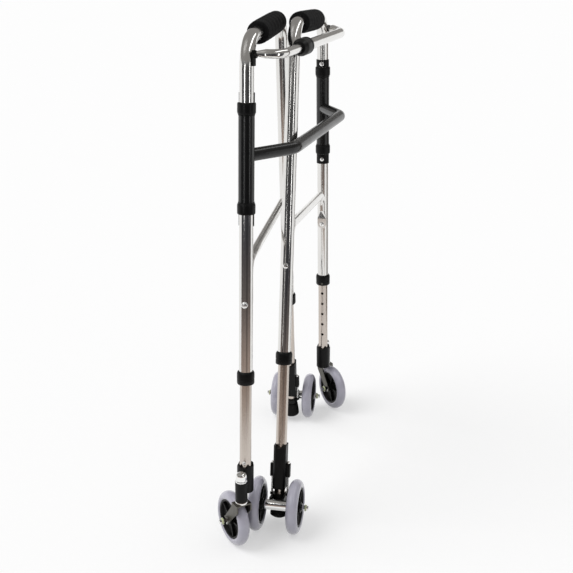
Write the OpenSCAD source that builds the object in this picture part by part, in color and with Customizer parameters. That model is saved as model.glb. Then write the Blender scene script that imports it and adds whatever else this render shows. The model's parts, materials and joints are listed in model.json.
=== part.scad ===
// Folding front wheeled walker, shown folded.
// X is the user's right, Y is forward, Z is up. The origin is on the floor, midway between the front legs.
// Each side frame turns on its own front leg inside a sleeve of the front crossbar.

/* [Stance] */
// Distance between the front leg axes at floor level
front_track = 600; // [560:1:660]
// Sideways lean of each front leg
leg_lean = 3; // [1:0.5:4]
// Distance from the front leg to the rear leg's line, at the foot
rear_foot = 525; // [480:1:600]
// Forward lean of each rear leg
rear_rake = 13.2; // [11:0.1:15]
// How far the right side frame stands open (90 is open for use)
right_open = 6; // [6:1:90]
// How far the left side frame stands open, past the front plane when negative
left_open = -4.5; // [-5:0.5:90]

/* [Tubes] */
// Outer diameter of the frame tube
tube_d = 24; // [22:0.5:26]
// Wall of the frame tube
tube_wall = 1.5; // [1.2:0.1:2]
// Wall of the leg extensions
extension_wall = 1.3; // [1:0.1:2]
// Radial clearance of an extension in its leg
extension_gap = 0.1; // [0.05:0.01:0.1]
// Outer diameter of the side brace
brace_d = 16; // [12:0.5:18]
// Outer diameter of the lower crossbar
crossbar_d = 22; // [18:0.5:24]
// Wall of the brace and of the crossbars
bar_wall = 1.3; // [1:0.1:2]

/* [Handle] */
// Height at which the handle's line meets the front leg
handle_h = 900; // [860:1:960]
// Rise of the handle towards the rear
handle_rise = 5; // [0:0.5:8]
// Bend radius from front leg to handle
front_bend = 50; // [40:1:60]
// Bend radius from handle to rear leg
rear_bend = 44; // [40:1:60]
// Outer diameter of the foam grip
grip_d = 40.5; // [30:0.5:42]
// Length of the foam grip
grip_len = 175; // [150:1:175]
// Distance from the front leg to the grip
grip_start = 88; // [54:1:90]

/* [Pivot sleeves] */
// Height of the sleeve's lower end
sleeve_h = 618; // [600:1:630]
// Length of the sleeve
sleeve_len = 181; // [160:1:190]
// Wall of the sleeve
sleeve_wall = 1.4; // [1:0.1:2]
// Radial running clearance of a leg in its sleeve
sleeve_gap = 0.1; // [0.05:0.01:0.1]
// Outer diameter of the collars on the sleeve's ends
collar_d = 31; // [30:0.5:34]
// Length of a collar on a sleeve
collar_len = 19; // [14:1:24]
// Diameter of the fold button
button_d = 9; // [7:0.5:10]
// Travel of the fold button
button_travel = 3.5; // [2:0.5:4]

/* [Crossbars] */
// Height of the lower crossbar
crossbar_h = 713; // [690:1:730]
// How far the crossbars bow forward
bow = 58; // [54:1:70]
// Half the length of the lower crossbar's straight middle, corner to corner
crossbar_half = 175; // [150:1:190]
// Bend radius of the lower crossbar
crossbar_bend = 40; // [30:1:50]
// Height of the upper crossbar
upper_h = 877; // [872:1:882]
// Outer diameter of the upper crossbar
upper_d = 19; // [17:0.5:22]
// Outer diameter of the upper crossbar's arm
arm_d = 15; // [12:0.5:16]
// Bend radius of the upper crossbar and its arm
upper_bend = 90; // [60:1:95]
// Outer diameter of the ferrule on the upper crossbar
ferrule_d = 30; // [26:0.5:34]
// Inner end of the ferrule, from the middle
ferrule_from = 100; // [90:1:125]
// Length of the ferrule
ferrule_len = 48; // [40:1:50]

/* [Side brace] */
// Height of the brace at the front leg
brace_front_h = 530; // [520:1:545]
// Height of the brace at the rear leg
brace_rear_h = 572; // [560:1:585]
// Bend radius of the brace
brace_bend = 26; // [22:1:30]
// Width of the brace's flattened ends
tongue_w = 19; // [16:0.5:20]
// Thickness of the brace's flattened ends
tongue_t = 3; // [2.5:0.1:4]
// Height of the front brace rivet
front_rivet_h = 460; // [458:1:470]
// Distance up the rear leg to its brace rivet
rear_rivet_w = 522; // [515:1:530]

/* [Leg extensions] */
// Height of the front leg tube's lower end
front_tube_end = 323; // [318:1:330]
// Distance up the rear leg to the rear tube's lower end
rear_tube_end = 347; // [340:1:355]
// Spacing of the height holes
hole_pitch = 25.4; // [20:0.1:25.4]
// Diameter of a height hole
hole_d = 6; // [5.8:0.1:8]
// Length of a front extension inside its leg
front_insert = 57; // [50:1:58]
// Length of a rear extension inside its leg
rear_insert = 111; // [100:1:115]
// Diameter of a height lock pin
pin_d = 5; // [4:0.1:5]
// Travel of a height lock pin
pin_travel = 3.5; // [3:0.5:4]

/* [Wheels] */
// Wheel diameter
wheel_d = 101.6; // [96:0.1:102]
// Tyre width
tyre_w = 22; // [20:0.5:23]
// Inner diameter of the tyre
tyre_bore = 74; // [70:1:78]
// Width of the wheel hub at its rim
hub_w = 14; // [12:0.5:18]
// Diameter of the wheel bolts
bolt_d = 8; // [6:0.5:8]
// Radial running clearance of a wheel on its bolt
bolt_gap = 0.1; // [0.05:0.01:0.1]

/* [Front casters] */
// Distance from the front leg to the swivel axis
caster_reach = 32; // [31:0.5:36]
// Trail of the caster wheel
caster_trail = 33; // [32:0.5:36]
// Direction in which the right wheel trails, from the frame's plane
right_trail_angle = 40; // [0:1:90]
// Direction in which the left wheel trails, from the frame's plane
left_trail_angle = -40; // [-90:1:0]
// Height of the fork's top strap
strap_z = 97; // [96:0.5:98]
// Thickness of the fork's plates
plate_t = 2.5; // [2:0.1:3]
// Diameter of the swivel housing
housing_d = 22; // [20:0.5:24]
// Length of the swivel housing
housing_len = 38; // [30:1:40]
// Diameter of the swivel stem
stem_d = 12; // [10:0.5:12]
// Height of the leg socket's lower end
socket_h = 107; // [106:0.5:110]
// Length of the leg socket
socket_len = 52; // [48:1:60]
// Outer diameter of the leg socket
socket_d = 30; // [29:0.5:31]

/* [Rear brakes] */
// Distance of the rear axle behind the leg's line
axle_back = 31; // [30:0.5:34]
// Distance between the middles of the twin wheels
twin_track = 72; // [70:0.5:76]
// Diameter of the silver axle tube
axle_tube_d = 20; // [18:0.5:20]
// Gap under the brake tip while rolling
tip_clear = 10; // [10:0.5:14]
// Travel of the sprung axle bracket
brake_travel = 10; // [8:0.5:10]
// Outer diameter of the rubber brake tip
tip_d = 34; // [32:0.5:36]
// Height of the rubber brake tip
tip_len = 35; // [30:1:36]
// Width of the brake housing, along the axle
tower_w = 23.4; // [23:0.1:26]
// Depth of the brake housing, fore and aft
tower_depth = 28; // [26:0.5:30]

/* [Hidden] */
$fn = 64;

// Clearance between pieces that are seated on each other
seat = 0.05;
// Clearance between pieces that pass each other
pass_gap = 0.5;
// Extra length of a cutting shape past the face that it cuts
over = 1;
// How much thicker a tube's bends are, each way, and how far its straights reach into them
bend_swell = 0.05;
bend_reach = 0.5;
// How far a tube reaches into the root of its flattened end
flare_reach = 1;

// A flattened end's root is a 32-sided disc that clears the tube inside it
function flare_root_d(d) = d / cos(180 / 32) + 2 * bend_swell;

tube_r = tube_d / 2;
bore_r = tube_r - tube_wall;
extension_r = bore_r - extension_gap;
sleeve_bore_r = tube_r + sleeve_gap;
sleeve_r = sleeve_bore_r + sleeve_wall;
collar_r = collar_d / 2;
collar_lip = 2;
wheel_r = wheel_d / 2;
bolt_r = bolt_d / 2;
hub_bore_r = bolt_r + bolt_gap;
pin_r = pin_d / 2;
rivet_r = 2.4;

// Where the handle's line meets the rear leg's line, as (distance behind the front leg, height)
handle_back = (rear_foot - handle_h * tan(rear_rake)) / (1 + tan(handle_rise) * tan(rear_rake));
handle_corner = [handle_back, handle_h + handle_back * tan(handle_rise)];

function along_rear_leg(w, x = 0) =
    [rear_foot - w * sin(rear_rake) + x * cos(rear_rake), w * cos(rear_rake) + x * sin(rear_rake)];

// Distance up the rear leg of a point that lies x behind it and z above the floor
function up_rear_leg(z, x = 0) =
    (z + rear_foot * sin(leg_lean) - x * sin(rear_rake - leg_lean)) / cos(rear_rake - leg_lean);

frame_path = [[0, front_tube_end], [0, handle_h], handle_corner, along_rear_leg(rear_tube_end)];
frame_bends = [0, front_bend, rear_bend, 0];

button_h = sleeve_h + sleeve_len + collar_lip + 7.5;
clip_wall = 1.4;
clip_r = tube_r + seat + clip_wall;
clip_len = 15;
lower_clip_len = 20;

// The collar nose below a leg's end, where the lock pin crosses to the extension
nose_len = 10;
skirt_len = 14;
front_pin_h = front_tube_end - nose_len / 2 + 0.5;
rear_pin_w = rear_tube_end - nose_len / 2;
front_holes = [-5:1];
rear_holes = [-4:4];

housing_z = strap_z + plate_t + 4.5;
cap_len = 18;
leg_shift = tan(leg_lean);

axle_w = up_rear_leg(wheel_r, axle_back);
tip_ball_r = 24;
tip_w = (tip_clear + tip_ball_r + rear_foot * sin(leg_lean)) / cos(rear_rake - leg_lean) - tip_ball_r;
spring_r = 2.6;
spring_off = 14.8;
rod_r = 1.6;
bracket_top = axle_w + 13;
tower_w0 = bracket_top + brake_travel + 1;
tower_len = 85;
ear_w0 = tower_w0 + 22;
ear_len = 25;
bracket_gap = 0.1;
spacer_len = 3.5;
axle_tube_half = twin_track / 2 - tyre_w / 2 - spacer_len - 0.5;

function side_open(s) = s > 0 ? right_open : left_open;
function trail_angle(s) = s > 0 ? right_trail_angle : left_trail_angle;

// ---------------------------------------------------------------- places

// The right side as it is, the left side mirrored
module on_side(s) {
    if (s > 0) children();
    else mirror([1, 0, 0]) children();
}

// On a sleeve: the leg's axis is Z
module on_sleeve(s) {
    on_side(s) translate([front_track / 2, 0, 0]) rotate([0, -leg_lean, 0]) children();
}

// On a side frame: X runs back to the rear leg, Y outwards, Z up the front leg
module on_leg(s) {
    on_sleeve(s) rotate([0, 0, 180 + side_open(s)]) children();
}

// On a rear leg: X runs back from it, Y outwards, Z up the leg
module on_rear_leg(s) {
    on_leg(s) translate([rear_foot, 0, 0]) rotate([0, -rear_rake, 0]) children();
}

// On the handle: Z runs back along it from the front leg's axis
module on_handle(s) {
    on_leg(s) translate([0, 0, handle_h]) rotate([0, 90 - handle_rise, 0]) children();
}

// On a caster's upright swivel axis: X runs towards the leg, Z up from the floor
module on_swivel(s) {
    on_side(s) translate([front_track / 2 - leg_shift * strap_z, 0, 0]) rotate([0, 0, 180 + side_open(s)])
        translate([-caster_reach, 0, 0]) children();
}

// On a caster's fork: X runs the way the wheel trails
module on_fork(s) {
    on_swivel(s) rotate([0, 0, trail_angle(s)]) children();
}

// On a wheel's axle: Z runs along the axle, outwards
module on_caster_axle(s) {
    on_fork(s) translate([caster_trail, 0, wheel_r]) rotate([-90, 0, 0]) children();
}

module on_rear_axle(s) {
    on_rear_leg(s) translate([axle_back, 0, axle_w]) rotate([-90, 0, 0]) children();
}

// ---------------------------------------------------------------- shapes

function heading(p, i) = atan2(p[i + 1][1] - p[i][1], p[i + 1][0] - p[i][0]);
function turn(p, i) =
    let (t = heading(p, i) - heading(p, i - 1))
    t > 180 ? t - 360 : t < -180 ? t + 360 : t;
function setback(p, r, i) = i == 0 || i == len(p) - 1 ? 0 : r[i] * tan(abs(turn(p, i)) / 2);
function step(p, i, l) = p[i] + l * [cos(heading(p, i)), sin(heading(p, i))];

// A round tube along a path in the XY plane, with a bend radius at each inner corner.
// Its bends are a hair thicker than its straights, which reach a little way into them.
module bent_tube(p, r, d, wall) {
    last = len(p) - 1;
    for (i = [0:last - 1]) {
        from = setback(p, r, i) - (i == 0 ? 0 : bend_reach);
        to = norm(p[i + 1] - p[i]) - setback(p, r, i + 1) + (i == last - 1 ? 0 : bend_reach);
        translate(concat(step(p, i, from), 0)) rotate([0, 0, heading(p, i)]) rotate([0, 90, 0])
            ring(d / 2 - wall, d / 2, 0, to - from);
    }
    for (i = [1:last - 1]) {
        t = turn(p, i);
        side = t > 0 ? 1 : -1;
        before = heading(p, i - 1);
        start = p[i] - setback(p, r, i) * [cos(before), sin(before)];
        centre = start + side * r[i] * [-sin(before), cos(before)];
        translate(concat(centre, 0)) rotate([0, 0, before - 90 * side + min(t, 0)])
            rotate_extrude(angle = abs(t)) translate([r[i], 0]) difference() {
                circle(r = d / 2 + bend_swell);
                circle(r = d / 2 - wall - bend_swell);
            }
    }
}

// A path given as (distance back, height), stood up in the XZ plane
module upright() {
    rotate([90, 0, 0]) children();
}

module ring(r_in, r_out, z, h) {
    translate([0, 0, z]) difference() {
        cylinder(r = r_out, h = h);
        translate([0, 0, -over]) cylinder(r = r_in, h = h + 2 * over);
    }
}

// A round bar along X
module cross_pin(r, x0, x1) {
    translate([x0, 0, 0]) rotate([0, 90, 0]) cylinder(r = r, h = x1 - x0);
}

// A low domed head that rises along Z
module dome(r, h) {
    ball = (r * r + h * h) / (2 * h);
    intersection() {
        translate([0, 0, h - ball]) sphere(r = ball);
        translate([-r - over, -r - over, 0]) cube([2 * (r + over), 2 * (r + over), h]);
    }
}

// A hexagonal lock nut with its round collar, rising along Z
module lock_nut(across, h) {
    difference() {
        union() {
            cylinder(d = across / cos(30), h = 0.7 * h, $fn = 6);
            cylinder(d = 0.85 * across, h = h);
        }
        translate([0, 0, -over]) cylinder(r = bolt_r + seat, h = h + 2 * over);
    }
}

// ---------------------------------------------------------------- front crossbars

module lower_crossbar() {
    end_x = front_track / 2 - leg_shift * crossbar_h;
    color("#1c1c1e") difference() {
        translate([0, 0, crossbar_h])
            bent_tube([[-end_x, 0], [-crossbar_half, bow], [crossbar_half, bow], [end_x, 0]],
                [0, crossbar_bend, crossbar_bend, 0], crossbar_d, bar_wall);
        for (s = [-1, 1]) on_sleeve(s) translate([0, 0, crossbar_h - 40]) cylinder(r = sleeve_r + seat, h = 80);
    }
}

module pivot_sleeve(s) {
    color("#1c1c1e") on_sleeve(s) ring(sleeve_bore_r, sleeve_r, sleeve_h, sleeve_len);
}

module sleeve_collars() {
    grip_r = sleeve_r + seat;
    color("#26262a") for (s = [-1, 1]) on_sleeve(s) {
        ring(grip_r, collar_r, sleeve_h, collar_len);
        ring(sleeve_bore_r, collar_r, sleeve_h - collar_lip, collar_lip);
        ring(grip_r, collar_r, sleeve_h + sleeve_len - collar_len, collar_len);
        ring(sleeve_bore_r, collar_r, sleeve_h + sleeve_len, collar_lip);
    }
}

// The upper crossbar's ends lie flat against saddles on the front of the legs
saddle_gap = 0.6;
saddle_wall = 2.6;
saddle_r = tube_r + saddle_gap + saddle_wall;
saddle_w = 11;
saddle_h = 34;
saddle_drop = 26;
bar_angle = 65;
flat_w = 14;
flat_t = 3;
flat_len = 14;
flare_len = 18;
// The bars stay upright while the saddles lean with the legs
flat_gap = 0.4;
upper_leg_x = front_track / 2 - leg_shift * upper_h;

// The flat end's middle, in plan, and the corner where its line reaches the bow
function flat_middle(a) = [upper_leg_x, 0] + (saddle_r + flat_gap + flat_t / 2) * [cos(a), sin(a)];
function bow_corner(a) = [flat_middle(a)[0] - (bow - flat_middle(a)[1]) * tan(a), bow];

// The arm turns straight back, and its tapered tip stops against a boss on the right saddle
arm_bend = 25;
arm_tip_d = 9;
boss_r = 6;
boss_y = saddle_r + 2;
// The right saddle keeps to the side away from the folded handle's bend
right_angle = 76;
right_w = 9;
right_drop = 18;

module saddle(angle, wide, tall) {
    intersection() {
        ring(tube_r + saddle_gap, saddle_r, 0, tall);
        rotate([0, 0, angle]) translate([0, -wide / 2, -over]) cube([collar_d, wide, tall + 2 * over]);
    }
}

module bar_clips() {
    color("#1c1c1e") {
        on_sleeve(-1) translate([0, 0, upper_h - saddle_drop]) saddle(bar_angle, saddle_w, saddle_h);
        on_sleeve(1) translate([0, 0, upper_h]) {
            translate([0, 0, -right_drop]) saddle(right_angle, right_w, right_drop + boss_r + 1);
            translate([0, boss_y, 0]) rotate([90, 0, 0]) cylinder(r = boss_r, h = 3.5);
        }
    }
}

// A tube's end, flattened along -X: its round root is at the origin, and the tube reaches into it
module flat_end(d) {
    hull() {
        translate([flare_reach, 0, 0]) rotate([0, -90, 0]) cylinder(d = flare_root_d(d), h = flare_reach + 0.5, $fn = 32);
        translate([-flare_len - 1, -flat_t / 2 + bend_swell, -flat_w / 2 + bend_swell])
            cube([1, flat_t - 2 * bend_swell, flat_w - 2 * bend_swell]);
    }
    translate([-flare_len - flat_len, -flat_t / 2, -flat_w / 2]) cube([flat_len + 0.5, flat_t, flat_w]);
}

// The flattened crossbar end, drawn on the right and mirrored to the left
module crossbar_end(a, d) {
    m = flat_middle(a);
    translate([m[0], m[1], upper_h]) rotate([0, 0, a + 270]) translate([flat_len / 2 - flare_len - flat_len, 0, 0])
        mirror([1, 0, 0]) flat_end(d);
}

function flare_root(a) = flat_middle(a) + (flare_len + flat_len / 2) * [-sin(a), cos(a)];

module upper_bar() {
    root = flare_root(bar_angle);
    corner = bow_corner(bar_angle);
    color("#b9b7b3") {
        translate([0, 0, upper_h])
            bent_tube([[-root[0], root[1]], [-corner[0], corner[1]], [ferrule_from + ferrule_len / 2, bow]],
                [0, upper_bend, 0], upper_d, bar_wall);
        mirror([1, 0, 0]) crossbar_end(bar_angle, upper_d);
    }
}

module upper_bar_arm() {
    root_y = bow - arm_bend - 1;
    color("#c4c4c6") translate([0, 0, upper_h]) {
        bent_tube([[ferrule_from + ferrule_len / 2 + pass_gap, bow], [upper_leg_x, bow], [upper_leg_x, root_y]],
            [0, arm_bend, 0], arm_d, bar_wall);
        translate([upper_leg_x, root_y + 0.5, 0]) rotate([90, 0, 0])
            cylinder(r1 = arm_d / 2 + 0.2, r2 = arm_tip_d / 2, h = root_y + 0.5 - boss_y - seat);
    }
}

module bar_ferrule() {
    lip = 3;
    r = ferrule_d / 2;
    color("#1a1a1c") translate([ferrule_from, bow, upper_h]) rotate([0, 90, 0]) difference() {
        union() {
            cylinder(r1 = r - 2, r2 = r, h = lip);
            translate([0, 0, lip]) cylinder(r = r, h = ferrule_len - 4 * lip);
            translate([0, 0, ferrule_len - 3 * lip]) cylinder(r1 = r, r2 = arm_d / 2 + lip, h = 3 * lip);
        }
        translate([0, 0, -over]) cylinder(d = upper_d + 2 * seat, h = ferrule_len / 2 + over);
        cylinder(d = arm_d + 2 * seat, h = ferrule_len + over);
    }
}

// ---------------------------------------------------------------- side frames

module frame_tube(s) {
    color("#c8c6c2") difference() {
        on_leg(s) upright() bent_tube(frame_path, frame_bends, tube_d, tube_wall);
        on_leg(s) {
            translate([0, 0, button_h]) cross_pin(button_d / 2 + 0.1, 0, tube_d);
            translate([0, 0, lower_clip_h()]) cross_pin(rivet_r + seat, 0, tube_d);
            translate([0, 0, front_rivet_h]) cross_pin(rivet_r + seat, -tube_d, tube_d);
        }
        on_rear_leg(s) translate([0, 0, rear_rivet_w]) cross_pin(rivet_r + seat, -tube_d, tube_d);
    }
}

module grip(s) {
    color("#161617") on_handle(s) ring(tube_r + seat, grip_d / 2, grip_start, grip_len);
}

brace_off = tube_r + 0.2 + brace_d / 2;
stub = 6;
flare = 22;
brace_rear = let (w = (brace_rear_h + brace_off * sin(rear_rake)) / cos(rear_rake)) along_rear_leg(w, -brace_off);
brace_slope = atan2(brace_rear[1] - brace_front_h, brace_rear[0] - brace_off);
front_setback = brace_bend * tan((90 + brace_slope) / 2);
rear_setback = brace_bend * tan((90 - rear_rake + brace_slope) / 2);
brace_rear_w = (brace_rear_h + brace_off * sin(rear_rake)) / cos(rear_rake);

// A flattened brace end: it hangs down from the tube's round end at height top to its rivet
module tongue(top, rivet_at, side) {
    face = side * (tube_r + 0.1 + tongue_t / 2);
    low = rivet_at - tongue_w / 2;
    difference() {
        union() {
            hull() {
                translate([side * brace_off, 0, top - 0.5])
                    cylinder(d = flare_root_d(brace_d), h = flare_reach + 0.5, $fn = 32);
                translate([face - tongue_t / 2 + bend_swell, -tongue_w / 2 + bend_swell, top - flare])
                    cube([tongue_t - 2 * bend_swell, tongue_w - 2 * bend_swell, 1]);
            }
            translate([face - tongue_t / 2, -tongue_w / 2, rivet_at])
                cube([tongue_t, tongue_w, top - flare + 1.5 - rivet_at]);
            translate([0, 0, rivet_at]) cross_pin(tongue_w / 2, face - tongue_t / 2, face + tongue_t / 2);
        }
        translate([0, 0, rivet_at]) cross_pin(rivet_r + seat, -2 * tube_d, 2 * tube_d);
    }
}

module brace(s) {
    front_top = brace_front_h - front_setback - stub;
    rear_top = brace_rear_w - rear_setback - stub;
    color("#bdbab4") {
        on_leg(s) upright()
            bent_tube([[brace_off, front_top], [brace_off, brace_front_h], brace_rear,
                along_rear_leg(rear_top, -brace_off)],
                [0, brace_bend, brace_bend, 0], brace_d, bar_wall);
        on_leg(s) tongue(front_top, front_rivet_h, 1);
        on_rear_leg(s) tongue(rear_top, rear_rivet_w, -1);
    }
}

// A rivet through leg and brace, with a dome on the leg and a flat head on the brace
module brace_rivet(side) {
    brace_face = tube_r + 0.1 + tongue_t;
    rotate([0, 0, side > 0 ? 0 : 180]) {
        cross_pin(rivet_r, -tube_r, brace_face + 0.1);
        translate([-tube_r, 0, 0]) rotate([0, -90, 0]) dome(5, 2);
        translate([brace_face, 0, 0]) rotate([0, 90, 0]) dome(5, 1.6);
    }
}

function lower_clip_h() = sleeve_h - collar_lip - pass_gap - lower_clip_len / 2;

module rivets(s) {
    color("#d6d6d8") {
        on_leg(s) {
            translate([0, 0, front_rivet_h]) brace_rivet(1);
            translate([0, 0, lower_clip_h()]) {
                cross_pin(rivet_r, bore_r, clip_r);
                translate([clip_r, 0, 0]) rotate([0, 90, 0]) dome(4, 1.5);
            }
        }
        on_rear_leg(s) translate([0, 0, rear_rivet_w]) brace_rivet(-1);
    }
}

// Half shells that hold the leg up and down in its sleeve
module stop_clip(z, h, hole_z, hole_r) {
    difference() {
        intersection() {
            ring(tube_r + seat, clip_r, z, h);
            translate([1.5, -collar_r, z - over]) cube([collar_r, collar_d, h + 2 * over]);
        }
        translate([0, 0, hole_z]) cross_pin(hole_r, 0, collar_d);
    }
}

module stop_clips(s) {
    upper_z = sleeve_h + sleeve_len + collar_lip + pass_gap;
    lower_z = sleeve_h - collar_lip - pass_gap - lower_clip_len;
    color("#1c1c1e") on_leg(s) {
        stop_clip(upper_z, clip_len, button_h, button_d / 2 + 0.1);
        stop_clip(lower_z, lower_clip_len, lower_clip_h(), rivet_r + seat);
    }
}

module fold_button(s) {
    color("#d6d6d8") on_leg(s) translate([0, 0, button_h]) {
        cross_pin(button_d / 2, bore_r - 1.2, clip_r + 0.8);
        translate([clip_r + 0.8, 0, 0]) rotate([0, 90, 0]) dome(button_d / 2 - 0.3, 1.4);
    }
}

// ---------------------------------------------------------------- leg extensions

// A collar on a leg's lower end, which lies at height top: its nose holds the lock pin
module leg_collar(end, pin_at, side) {
    difference() {
        union() {
            ring(extension_r + extension_gap, collar_r, end - nose_len, nose_len);
            ring(tube_r + seat, collar_r, end, skirt_len);
        }
        translate([0, 0, pin_at]) cross_pin(pin_r + 0.1, side > 0 ? 0 : -collar_d, side > 0 ? collar_d : 0);
    }
}

module leg_collars(s) {
    color("#1c1c1e") {
        on_leg(s) leg_collar(front_tube_end, front_pin_h, 1);
        on_rear_leg(s) leg_collar(rear_tube_end, rear_pin_w, -1);
    }
}

module lock_pin(side) {
    rotate([0, 0, side > 0 ? 0 : 180]) cross_pin(pin_r, extension_r + pass_gap, collar_r);
}

module front_pin(s) {
    color("#2a2a2c") on_leg(s) translate([0, 0, front_pin_h]) lock_pin(1);
}

module rear_pin(s) {
    color("#2a2a2c") on_rear_leg(s) translate([0, 0, rear_pin_w]) lock_pin(-1);
}

// A leg extension with a row of holes through one wall
module extension(from, to, pin_at, holes, side) {
    difference() {
        ring(extension_r - extension_wall, extension_r, from, to - from);
        for (n = holes) translate([0, 0, pin_at + n * hole_pitch])
            cross_pin(hole_d / 2, side > 0 ? 0 : -tube_d, side > 0 ? tube_d : 0);
    }
}

module front_extension(s) {
    color("#c2b8ae") on_leg(s)
        extension(socket_h + collar_lip, front_tube_end + front_insert, front_pin_h, front_holes, 1);
}

module rear_extension(s) {
    color("#c2b8ae") on_rear_leg(s)
        extension(tip_w + tip_floor, rear_tube_end + rear_insert, rear_pin_w, rear_holes, -1);
}

// ---------------------------------------------------------------- front casters

socket_web_z = 112;
web_len = 28;

module caster_socket(s) {
    bore = extension_r + seat;
    color("#1c1c1e") difference() {
        union() {
            on_leg(s) translate([0, 0, socket_h]) cylinder(d = socket_d, h = socket_len);
            on_swivel(s) {
                translate([0, 0, housing_z]) cylinder(d = housing_d, h = housing_len);
                translate([0, -7, socket_web_z]) cube([caster_reach, 14, web_len]);
            }
        }
        on_leg(s) {
            translate([0, 0, socket_h + collar_lip]) cylinder(r = bore, h = socket_len);
            for (a = [0, 90]) rotate([0, 0, a]) translate([0, 0, socket_h + socket_len + 4])
                cross_pin(9, -socket_d, socket_d);
        }
        on_swivel(s) translate([0, 0, housing_z - over]) cylinder(r = stem_d / 2 + 0.1, h = housing_len + 2 * over);
    }
}

module caster_cap(s) {
    r = housing_d / 2 - 1.2;
    color("#dcdcde") on_swivel(s) translate([0, 0, housing_z + housing_len]) {
        cylinder(r = r + 1, h = 3);
        translate([0, 0, 3]) cylinder(r = r, h = cap_len - 3 - r / 2);
        translate([0, 0, cap_len - r / 2]) dome(r, r / 2);
    }
}

module fork_arm() {
    eye_r = 8.5;
    linear_extrude(plate_t) {
        polygon([[-10, strap_z + plate_t], [10, strap_z + plate_t], [11, strap_z - 6],
            [caster_trail + eye_r - 1, wheel_r + 3], [caster_trail - 4, wheel_r - eye_r + 1], [-10, strap_z - 12]]);
        translate([caster_trail, wheel_r]) circle(r = eye_r);
    }
}

arm_off = tyre_w / 2 + 1.4;

module caster_fork(s) {
    color("#3a3934") on_fork(s) {
        difference() {
            for (y = [arm_off, -arm_off - plate_t]) translate([0, y + plate_t, 0]) rotate([90, 0, 0]) fork_arm();
            translate([caster_trail, 0, wheel_r]) rotate([90, 0, 0])
                cylinder(r = bolt_r + seat, h = 4 * tyre_w, center = true);
        }
        translate([-10, -arm_off - plate_t, strap_z]) cube([20, 2 * (arm_off + plate_t), plate_t]);
        translate([0, 0, strap_z + plate_t]) cylinder(d = housing_d - 2, h = 4);
        translate([0, 0, strap_z]) cylinder(d = stem_d, h = housing_z + housing_len - 1 - strap_z);
        translate([0, 0, strap_z - 2.5]) cylinder(d = 11 / cos(30), h = 2.6, $fn = 6);
    }
}

bolt_free = 14;

module caster_bolt(s) {
    out = arm_off + plate_t;
    color("#d2d0b8") on_caster_axle(s) {
        translate([0, 0, -out]) cylinder(r = bolt_r, h = 2 * out + bolt_free);
        translate([0, 0, -out]) mirror([0, 0, 1]) dome(6.5, 2.6);
        translate([0, 0, out]) cylinder(r = 7, h = 1.5);
        translate([0, 0, out + 1.5]) lock_nut(12, 8);
    }
}

// ---------------------------------------------------------------- wheels

module tyre() {
    bead_r = tyre_bore / 2;
    rotate_extrude($fn = 96) difference() {
        translate([wheel_r - tyre_w / 2, 0]) circle(d = tyre_w);
        translate([0, -tyre_w]) square([bead_r, 2 * tyre_w]);
    }
}

module hub() {
    boss_r = 11;
    difference() {
        union() {
            cylinder(r = tyre_bore / 2 - seat, h = hub_w, center = true);
            cylinder(r = boss_r, h = tyre_w, center = true);
        }
        cylinder(r = hub_bore_r, h = tyre_w + 2 * over, center = true);
        for (m = [0, 1]) mirror([0, 0, m]) translate([0, 0, hub_w / 2 - 4]) difference() {
            cylinder(r = tyre_bore / 2 - 4, h = 5);
            translate([0, 0, -over]) cylinder(r = boss_r, h = 7);
        }
    }
}

module caster_tyre(s) { color("#8a8894") on_caster_axle(s) tyre(); }
module caster_hub(s) { color("#161617") on_caster_axle(s) hub(); }
module inner_tyre(s) { color("#8a8894") on_rear_axle(s) translate([0, 0, -twin_track / 2]) tyre(); }
module inner_hub(s) { color("#161617") on_rear_axle(s) translate([0, 0, -twin_track / 2]) hub(); }
module outer_tyre(s) { color("#8a8894") on_rear_axle(s) translate([0, 0, twin_track / 2]) tyre(); }
module outer_hub(s) { color("#161617") on_rear_axle(s) translate([0, 0, twin_track / 2]) hub(); }

// ---------------------------------------------------------------- rear brakes

tip_floor = 9;

module brake_tip(s) {
    color("#19191a") on_rear_leg(s) difference() {
        union() {
            intersection() {
                translate([0, 0, tip_w + tip_ball_r]) sphere(r = tip_ball_r);
                translate([0, 0, tip_w]) cylinder(d = tip_d, h = tip_floor);
            }
            translate([0, 0, tip_w + tip_floor]) cylinder(d1 = tip_d, d2 = tip_d - 6, h = tip_len - tip_floor);
        }
        translate([0, 0, tip_w + tip_floor]) cylinder(r = extension_r + seat, h = tip_len);
    }
}

// The housing stays on the extension; the axle bracket's springs push down from its ears
module brake_housing(s) {
    ear_y = spring_off + spring_r + 1.4;
    color("#1b1b1d") on_rear_leg(s) difference() {
        union() {
            intersection() {
                translate([1 - tower_depth / 2, -tower_w / 2, tower_w0]) cube([tower_depth, tower_w, tower_len]);
                translate([1, 0, tower_w0 - over]) cylinder(r = tower_depth / 2 + 2, h = tower_len + 2 * over);
            }
            translate([-5, -ear_y, ear_w0]) cube([10, 2 * ear_y, ear_len]);
        }
        translate([0, 0, tower_w0 - over]) cylinder(r = extension_r + seat, h = tower_len + 2 * over);
        for (y = [-spring_off, spring_off]) translate([0, y, ear_w0 - over]) {
            cylinder(r = spring_r + 0.4, h = brake_travel + 9);
            cylinder(r = rod_r + 0.4, h = ear_len + 2 * over);
        }
        translate([0, 0, tower_w0 + tower_len + 4]) cross_pin(9, -tower_depth, tower_depth);
    }
}

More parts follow.
